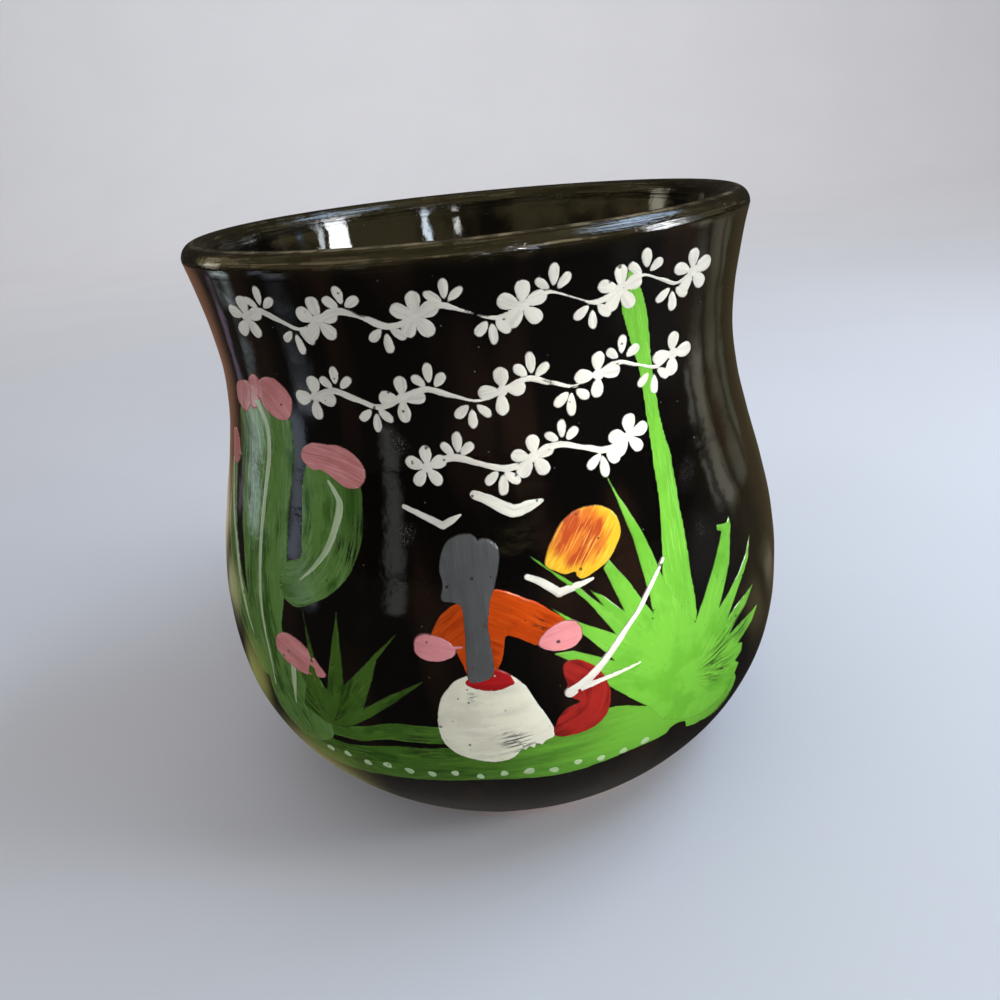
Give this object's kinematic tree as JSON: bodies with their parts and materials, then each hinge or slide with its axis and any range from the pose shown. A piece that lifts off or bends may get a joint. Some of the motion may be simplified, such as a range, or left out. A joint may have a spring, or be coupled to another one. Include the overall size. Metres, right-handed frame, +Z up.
{
  "type": "painted clay mug",
  "caption": "Round-bellied clay mug with a drawn-in neck, flared lip and strap handle, glazed black and painted with a cactus and agave landscape.",
  "frame": {"origin": "centre of the flat foot, on the surface that the mug stands on", "axes": "+Z up the pot's axis; the painted face looks along -Y and the handle stands at +Y; +X is to the right of someone who looks at the painted face"},
  "size_m": [0.1068, 0.1375, 0.1],
  "materials": {
    "terracotta": "matte",
    "clay_slip": "matte",
    "black_glaze": "polished",
    "deep_green_enamel": "gloss",
    "cactus_green_enamel": "gloss",
    "pale_green_enamel": "gloss",
    "dusty_pink_enamel": "gloss",
    "light_green_enamel": "gloss",
    "sun_yellow_enamel": "gloss",
    "white_enamel": "gloss",
    "slate_grey_enamel": "gloss",
    "orange_enamel": "gloss",
    "pink_enamel": "gloss",
    "red_enamel": "gloss",
    "dark_red_enamel": "gloss"
  },
  "bodies": {
    "root": {"clay_body": "terracotta", "clay_handle": "terracotta", "upper_slip_joint": "clay_slip", "lower_slip_joint": "clay_slip", "outer_glaze": "black_glaze", "inner_glaze": "black_glaze", "handle_glaze": "black_glaze", "ground_paint": "deep_green_enamel", "cactus_paint": "cactus_green_enamel", "cactus_veins_paint": "pale_green_enamel", "cactus_blossoms_paint": "dusty_pink_enamel", "small_agave_paint": "deep_green_enamel", "agave_paint": "light_green_enamel", "agave_stalk_paint": "light_green_enamel", "sun_paint": "sun_yellow_enamel", "birds_paint": "white_enamel", "hair_paint": "slate_grey_enamel", "sleeves_paint": "orange_enamel", "hands_paint": "pink_enamel", "sash_paint": "red_enamel", "skirt_paint": "white_enamel", "bundle_paint": "dark_red_enamel", "staff_paint": "white_enamel", "upper_border_paint": "white_enamel", "middle_border_paint": "white_enamel", "lower_border_paint": "white_enamel", "ground_dots_paint": "pale_green_enamel"}
  },
  "joints": []
}
